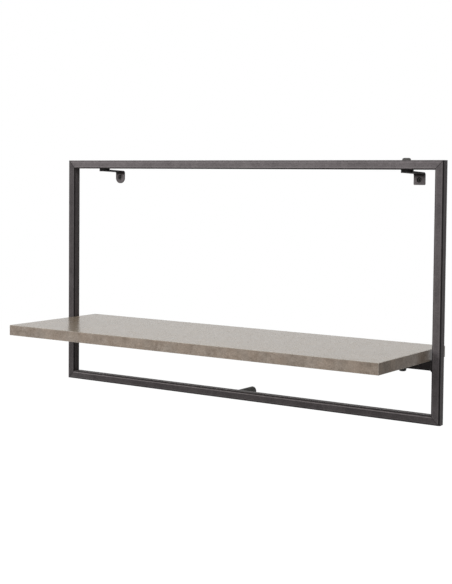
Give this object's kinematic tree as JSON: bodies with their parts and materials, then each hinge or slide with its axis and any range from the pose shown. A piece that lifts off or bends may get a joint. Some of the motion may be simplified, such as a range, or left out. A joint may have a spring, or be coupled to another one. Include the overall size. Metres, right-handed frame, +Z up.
{
  "type": "wall shelf",
  "caption": "Laminate board carried through a rectangular frame of square steel tube that hangs on two small angle brackets and rests against the wall on a spacer behind its bottom rail.",
  "frame": {"origin": "on the wall plane, midway between the two upper wall holes, at the height of their centres", "axes": "+X to the right seen from the front, +Y into the wall, +Z up"},
  "size_m": [0.768, 0.2285, 0.4156],
  "materials": {
    "frame_coating": "satin powder coat over square steel tube",
    "weld_coating": "powder-coated weld, ground back",
    "bracket_coating": "satin powder coat",
    "dark_bolt": "black oxide",
    "pale_bolt": "dull zinc",
    "laminate": "warm grey concrete-look laminate, semi-matt",
    "edge_band": "warm grey laminate band, semi-matt",
    "core": "raw particle board",
    "spacer_rubber": "moulded black rubber, dull",
    "insert_steel": "zinc"
  },
  "bodies": {
    "root": {"top_rail": "frame_coating", "bottom_rail": "frame_coating", "left_upright": "frame_coating", "right_upright": "frame_coating", "shelf_support_rail": "frame_coating", "corner_welds": "weld_coating", "support_rail_welds": "weld_coating", "left_wall_bracket": "bracket_coating", "right_wall_bracket": "bracket_coating", "bracket_packing_plates": "bracket_coating", "left_bracket_screw": "dark_bolt", "board_bolts": "dark_bolt", "board_bolt_washers": "dark_bolt", "right_bracket_bolt": "pale_bolt", "board_core": "core", "board_top_laminate": "laminate", "board_bottom_laminate": "laminate", "board_front_edge_band": "edge_band", "board_rear_edge_band": "edge_band", "board_left_edge_band": "edge_band", "board_right_edge_band": "edge_band", "board_threaded_inserts": "insert_steel", "bottom_spacer": "spacer_rubber", "bottom_spacer_screw": "dark_bolt"}
  },
  "joints": []
}
